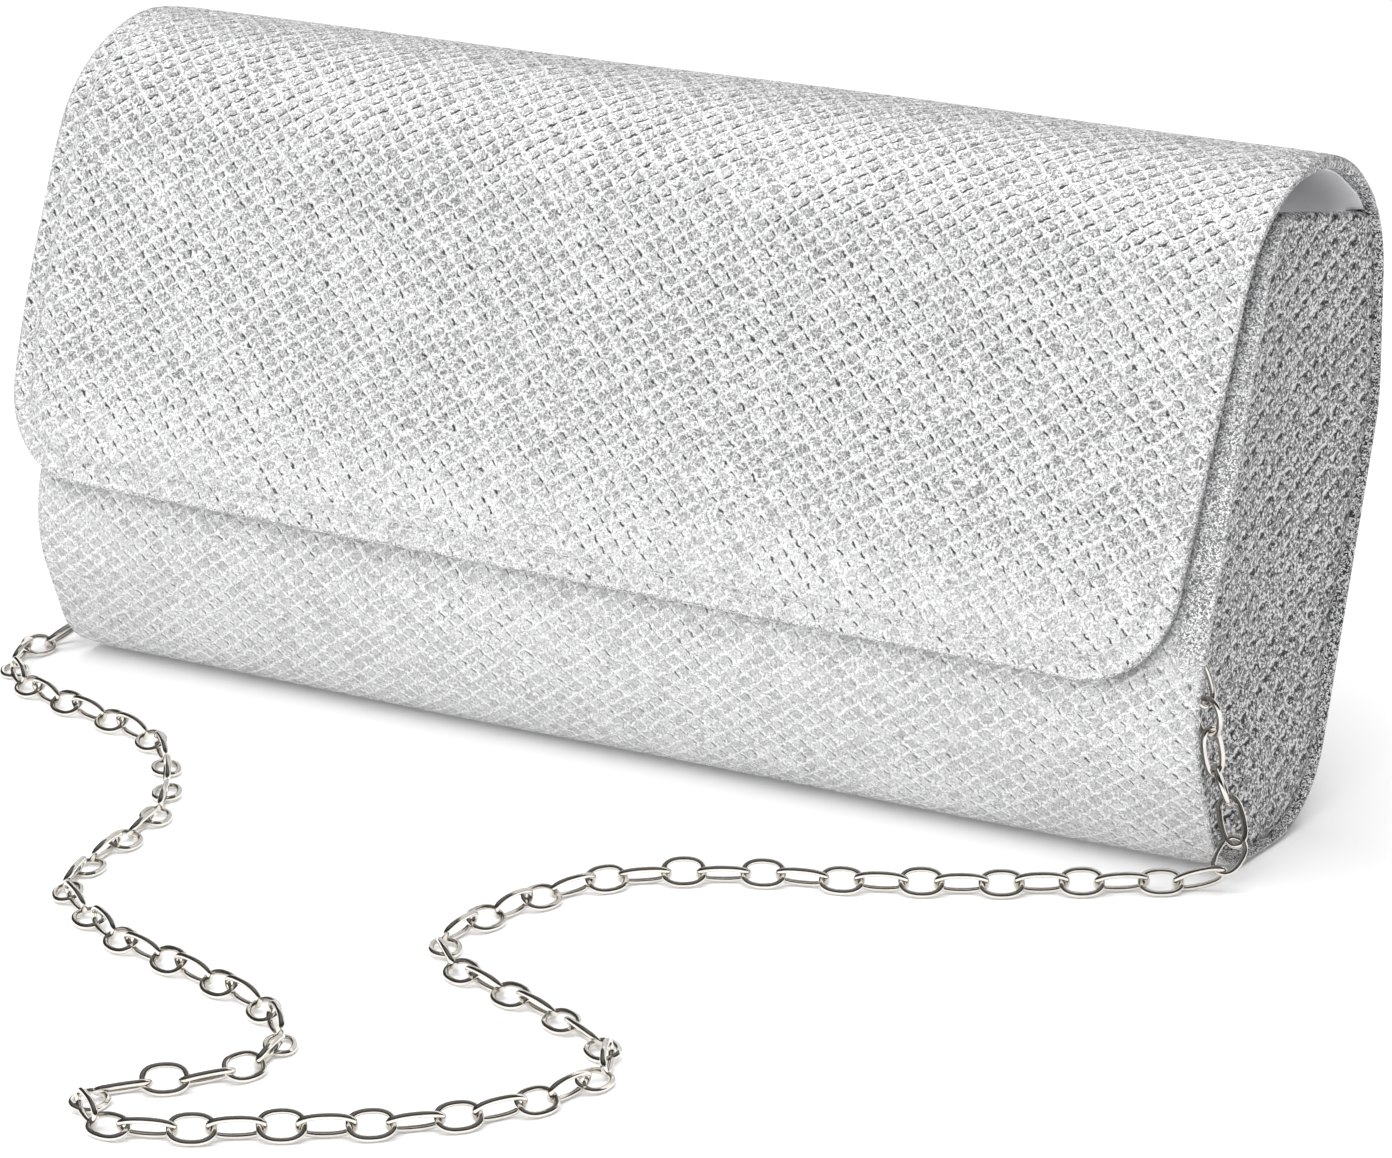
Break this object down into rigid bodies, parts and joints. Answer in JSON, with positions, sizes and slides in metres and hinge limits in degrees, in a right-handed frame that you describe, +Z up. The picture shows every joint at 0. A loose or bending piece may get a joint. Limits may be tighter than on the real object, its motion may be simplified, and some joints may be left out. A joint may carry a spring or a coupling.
{
  "type": "evening bag",
  "caption": "Flap clutch in silver glitter fabric: boxed wrap body with gussets, lined interior, hinged front flap with concealed magnets, and a fine cable shoulder chain.",
  "frame": {"origin": "middle of the bag's box at the surface it stands on, measured without the chain", "axes": "+Z up, flap facing -Y, +X along the width, to the right as seen from the front"},
  "size_m": [0.2318, 0.2244, 0.1085],
  "materials": {
    "glitter_fabric": "silver glitter, diamond net relief",
    "glitter_gusset": "silver glitter in the shade, diamond net relief",
    "board": "pressed fibre board",
    "lining": "grey satin",
    "magnet": "plain",
    "nickel": "polished warm nickel"
  },
  "bodies": {
    "bag_body": {"body_wrap_fabric": "glitter_fabric", "front_board": "board", "base_board": "board", "back_board": "board", "body_lining": "lining", "gusset_right_fabric": "glitter_gusset", "gusset_left_fabric": "glitter_gusset", "gusset_right_lining": "lining", "gusset_left_lining": "lining", "front_magnet": "magnet", "chain_eye_right": "nickel", "chain_eye_left": "nickel", "anchor_bar_right": "nickel", "anchor_bar_left": "nickel", "shoulder_chain": "nickel"},
    "flap": {"flap_fabric": "glitter_fabric", "flap_board": "board", "flap_lining": "lining", "flap_magnet": "magnet"}
  },
  "joints": [
    {"name": "flap_hinge", "type": "hinge", "parent": "bag_body", "child": "flap", "pos_m": [0.00353, 0.02973, 0.09703], "axis": [-1, 0, 0], "range_deg": [0, 165]}
  ]
}
